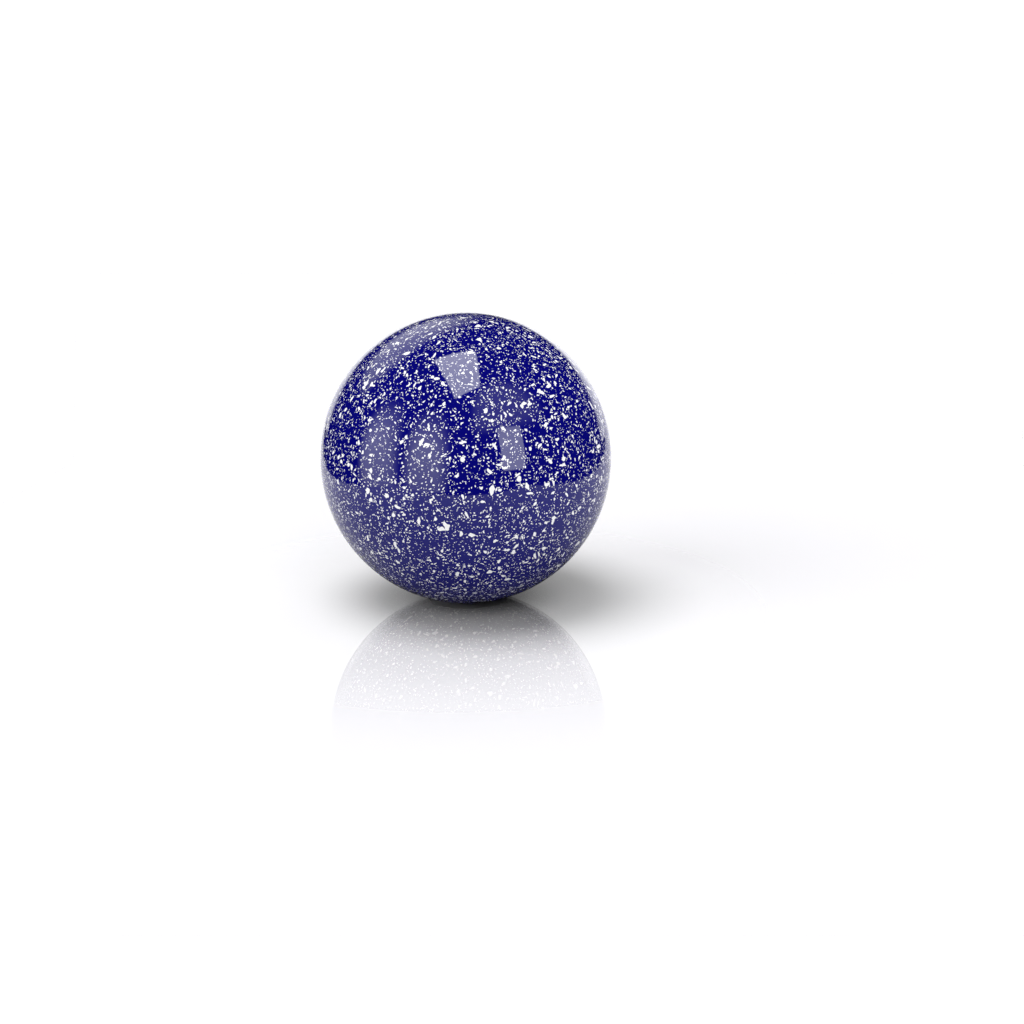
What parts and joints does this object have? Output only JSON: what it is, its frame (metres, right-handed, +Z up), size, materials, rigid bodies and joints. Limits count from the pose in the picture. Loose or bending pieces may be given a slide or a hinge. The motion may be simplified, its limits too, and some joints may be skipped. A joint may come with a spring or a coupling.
{
  "type": "croquet ball",
  "caption": "Smooth polished sphere for lawn games, dark blue resin with white flakes through it, a hard cover over a resilient rubber and cork inside.",
  "frame": {"origin": "centre of the ball", "axes": "+Z up; +Y across the seam of the cover, from the front half towards the rear half; +X across the seam of the mantle, to the right seen from the front"},
  "size_m": [0.0922, 0.0922, 0.0922],
  "materials": {
    "speckled_resin": "polished, dark blue with white flakes of mixed sizes",
    "seam_cement": "cured cement, tinted blue",
    "mantle_rubber": "moulded, matte",
    "cork_composition": "cork granules bound in rubber, matte",
    "loaded_rubber": "mineral-loaded rubber, matte"
  },
  "bodies": {
    "root": {"cover_half_front": "speckled_resin", "cover_half_rear": "speckled_resin", "seam_cement_ring": "seam_cement", "mantle_cup_left": "mantle_rubber", "mantle_cup_right": "mantle_rubber", "core_cup_lower": "cork_composition", "core_cup_upper": "cork_composition", "centre_pill": "loaded_rubber"}
  },
  "joints": []
}
